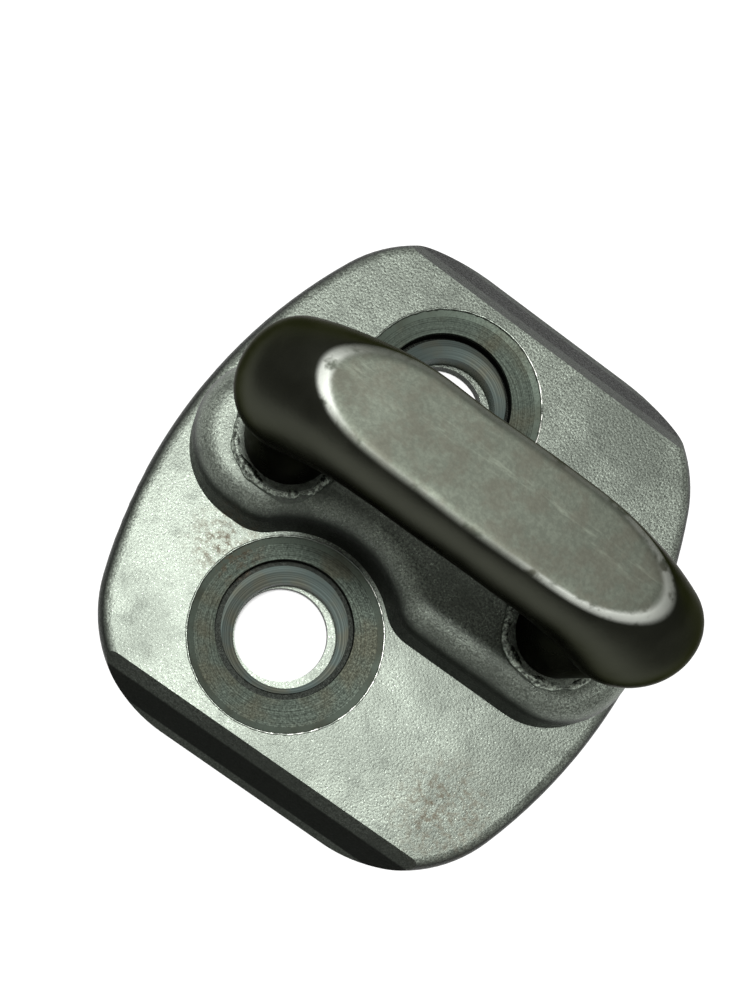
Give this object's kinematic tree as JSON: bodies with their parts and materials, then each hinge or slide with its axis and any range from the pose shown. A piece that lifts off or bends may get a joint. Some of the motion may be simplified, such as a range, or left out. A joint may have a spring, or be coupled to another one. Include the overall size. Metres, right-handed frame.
{
  "type": "pad eye",
  "caption": "Plate pad eye with a riveted bar loop on a raised pedestal, bevelled ends and countersunk-style screw seats with ring inserts.",
  "frame": {"origin": "middle of the plate's back face", "axes": "+X from one leg of the loop to the other, +Y from one screw hole to the other, +Z out of the plate"},
  "size_m": [0.0518, 0.0568, 0.0242],
  "materials": {
    "plate_steel": "dull grey zinc plate, finely speckled and worn, with a few rust specks",
    "loop_steel": "smooth worn dark steel, rubbed bright on the flat and its edges",
    "insert_steel": "turned steel with fine concentric marks"
  },
  "bodies": {
    "root": {"base_plate": "plate_steel", "loop": "loop_steel", "upper_insert": "insert_steel", "lower_insert": "insert_steel"}
  },
  "joints": []
}
